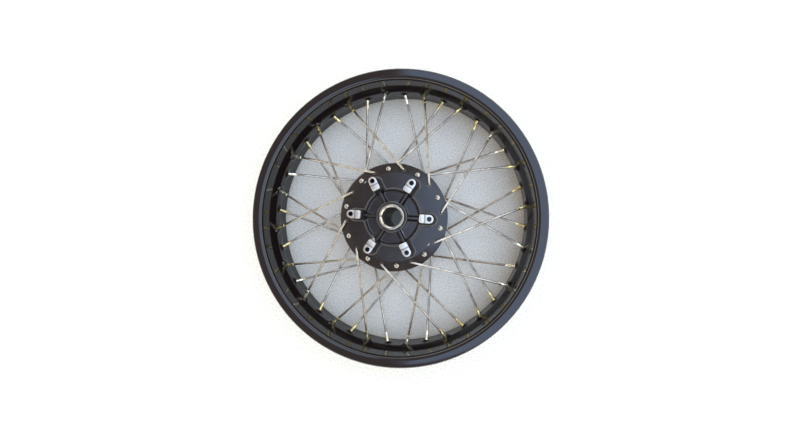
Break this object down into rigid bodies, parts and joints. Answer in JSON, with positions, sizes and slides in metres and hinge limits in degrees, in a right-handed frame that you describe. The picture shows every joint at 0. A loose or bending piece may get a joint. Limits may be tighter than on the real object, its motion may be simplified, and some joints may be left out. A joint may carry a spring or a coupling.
{
  "type": "wire-spoked motorcycle wheel",
  "caption": "Motorcycle wheel without tyre: drop-centre rim, crossed wire spokes with nipples, cast hub with raised disc pads, and an axle bore on two ball bearings.",
  "frame": {"origin": "on the wheel's axis, in the plane of the rim edge that the wheel lies on; the rim's middle plane is 45 mm above it", "axes": "+Z along the axle, towards the brake-disc side; +X and +Y in the plane of the wheel, +X 4.5 degrees from a disc pad"},
  "size_m": [0.4646, 0.4646, 0.1165],
  "materials": {
    "black_rim": "gloss",
    "black_hub": "satin",
    "stainless_spoke": "satin",
    "nipple_brass": "satin",
    "machined_pad": "satin",
    "bright_steel": "satin",
    "bearing_steel": "gloss",
    "cage_brass": "satin",
    "seal_rubber": "matte",
    "spring_steel": "satin"
  },
  "bodies": {
    "wheel": {"rim": "black_rim", "hub": "black_hub", "spoke_near_outer_01": "stainless_spoke", "spoke_near_outer_02": "stainless_spoke", "spoke_near_outer_03": "stainless_spoke", "spoke_near_outer_04": "stainless_spoke", "spoke_near_outer_05": "stainless_spoke", "spoke_near_outer_06": "stainless_spoke", "spoke_near_outer_07": "stainless_spoke", "spoke_near_outer_08": "stainless_spoke", "spoke_near_outer_09": "stainless_spoke", "spoke_near_outer_10": "stainless_spoke", "spoke_near_inner_01": "stainless_spoke", "spoke_near_inner_02": "stainless_spoke", "spoke_near_inner_03": "stainless_spoke", "spoke_near_inner_04": "stainless_spoke", "spoke_near_inner_05": "stainless_spoke", "spoke_near_inner_06": "stainless_spoke", "spoke_near_inner_07": "stainless_spoke", "spoke_near_inner_08": "stainless_spoke", "spoke_near_inner_09": "stainless_spoke", "spoke_near_inner_10": "stainless_spoke", "spoke_far_outer_01": "stainless_spoke", "spoke_far_outer_02": "stainless_spoke", "spoke_far_outer_03": "stainless_spoke", "spoke_far_outer_04": "stainless_spoke", "spoke_far_outer_05": "stainless_spoke", "spoke_far_outer_06": "stainless_spoke", "spoke_far_outer_07": "stainless_spoke", "spoke_far_outer_08": "stainless_spoke", "spoke_far_outer_09": "stainless_spoke", "spoke_far_outer_10": "stainless_spoke", "spoke_far_inner_01": "stainless_spoke", "spoke_far_inner_02": "stainless_spoke", "spoke_far_inner_03": "stainless_spoke", "spoke_far_inner_04": "stainless_spoke", "spoke_far_inner_05": "stainless_spoke", "spoke_far_inner_06": "stainless_spoke", "spoke_far_inner_07": "stainless_spoke", "spoke_far_inner_08": "stainless_spoke", "spoke_far_inner_09": "stainless_spoke", "spoke_far_inner_10": "stainless_spoke", "bearing_outer_race_near": "bearing_steel", "bearing_outer_race_far": "bearing_steel", "circlip": "spring_steel", "seal_near": "seal_rubber", "seal_far": "seal_rubber"},
    "axle_sleeve": {"bearing_inner_race_near": "bearing_steel", "bearing_inner_race_far": "bearing_steel", "distance_tube": "bright_steel", "collar_near": "bright_steel", "collar_far": "bright_steel"},
    "ball_cages": {"bearing_cage_near": "cage_brass", "bearing_cage_far": "cage_brass"}
  },
  "joints": [
    {"name": "sleeve_spin", "type": "hinge", "parent": "wheel", "child": "axle_sleeve", "pos_m": [0, 0, 0.045], "axis": [0, 0, 1], "continuous": true},
    {"name": "cage_spin", "type": "hinge", "parent": "wheel", "child": "ball_cages", "pos_m": [0, 0, 0.045], "axis": [0, 0, 1], "continuous": true}
  ],
  "couplings": [
    {"joint": "cage_spin", "follows": "sleeve_spin", "ratio": 0.4611}
  ]
}
